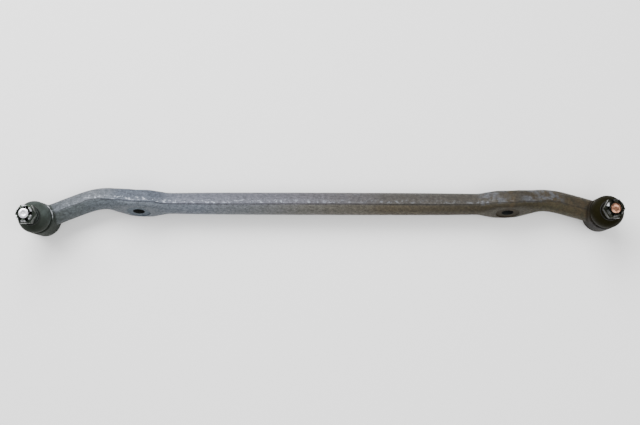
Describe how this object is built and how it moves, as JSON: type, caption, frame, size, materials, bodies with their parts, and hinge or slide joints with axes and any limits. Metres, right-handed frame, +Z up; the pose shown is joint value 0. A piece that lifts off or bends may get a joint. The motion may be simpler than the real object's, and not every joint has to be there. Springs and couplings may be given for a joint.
{
  "type": "steering center link",
  "caption": "Forged steel steering center link: a long bar with cranked arms, a ball stud with dust boot and castle nut at each end, and tapered tie rod holes through inclined lugs.",
  "frame": {"origin": "bottom centre of the part, lying on its closed sockets with the studs pointing up", "axes": "+Z up along the ball studs, +X along the bar towards the right end, +Y away from the side that the tie rod holes face"},
  "size_m": [0.74, 0.0602, 0.0879],
  "materials": {
    "forged_steel": "rough forged surface with dull grey and brown oxide",
    "stud_steel": "ground and turned",
    "zinc_plated_steel": "bright zinc plating",
    "spring_steel": "dark, hardened",
    "pressed_steel": "dull pressed plate",
    "ring_steel": "dark wire",
    "bearing": "greased",
    "boot_rubber": "satin"
  },
  "bodies": {
    "link": {"forged_link_body": "forged_steel", "left_upper_bearing": "bearing", "left_lower_bearing": "bearing", "left_preload_spring": "spring_steel", "left_cover_plate": "pressed_steel", "left_boot_base_ring": "ring_steel", "right_upper_bearing": "bearing", "right_lower_bearing": "bearing", "right_preload_spring": "spring_steel", "right_cover_plate": "pressed_steel", "right_boot_base_ring": "ring_steel"},
    "left_boot": {"left_dust_boot": "boot_rubber"},
    "left_collar": {"left_boot_neck_ring": "ring_steel"},
    "left_stud": {"left_ball_stud": "stud_steel", "left_castle_nut": "zinc_plated_steel"},
    "right_boot": {"right_dust_boot": "boot_rubber"},
    "right_collar": {"right_boot_neck_ring": "ring_steel"},
    "right_stud": {"right_ball_stud": "stud_steel", "right_castle_nut": "zinc_plated_steel"}
  },
  "joints": [
    {"name": "left_stud_swing", "type": "hinge", "parent": "link", "child": "left_boot", "pos_m": [-0.35, -0.01014, 0.0224], "axis": [0, 1, 0], "range_deg": [-15, 15], "deforming": ["left_dust_boot"]},
    {"name": "left_stud_rock", "type": "hinge", "parent": "left_boot", "child": "left_collar", "pos_m": [-0.35, -0.01014, 0.0224], "axis": [1, 0, 0], "range_deg": [-15, 15], "deforming": ["left_dust_boot"]},
    {"name": "left_stud_turn", "type": "hinge", "parent": "left_collar", "child": "left_stud", "pos_m": [-0.35, -0.01014, 0.0224], "axis": [0, 0, 1], "continuous": true},
    {"name": "right_stud_swing", "type": "hinge", "parent": "link", "child": "right_boot", "pos_m": [0.35, -0.00134, 0.0224], "axis": [0, 1, 0], "range_deg": [-15, 15], "deforming": ["right_dust_boot"]},
    {"name": "right_stud_rock", "type": "hinge", "parent": "right_boot", "child": "right_collar", "pos_m": [0.35, -0.00134, 0.0224], "axis": [1, 0, 0], "range_deg": [-15, 15], "deforming": ["right_dust_boot"]},
    {"name": "right_stud_turn", "type": "hinge", "parent": "right_collar", "child": "right_stud", "pos_m": [0.35, -0.00134, 0.0224], "axis": [0, 0, 1], "continuous": true}
  ]
}
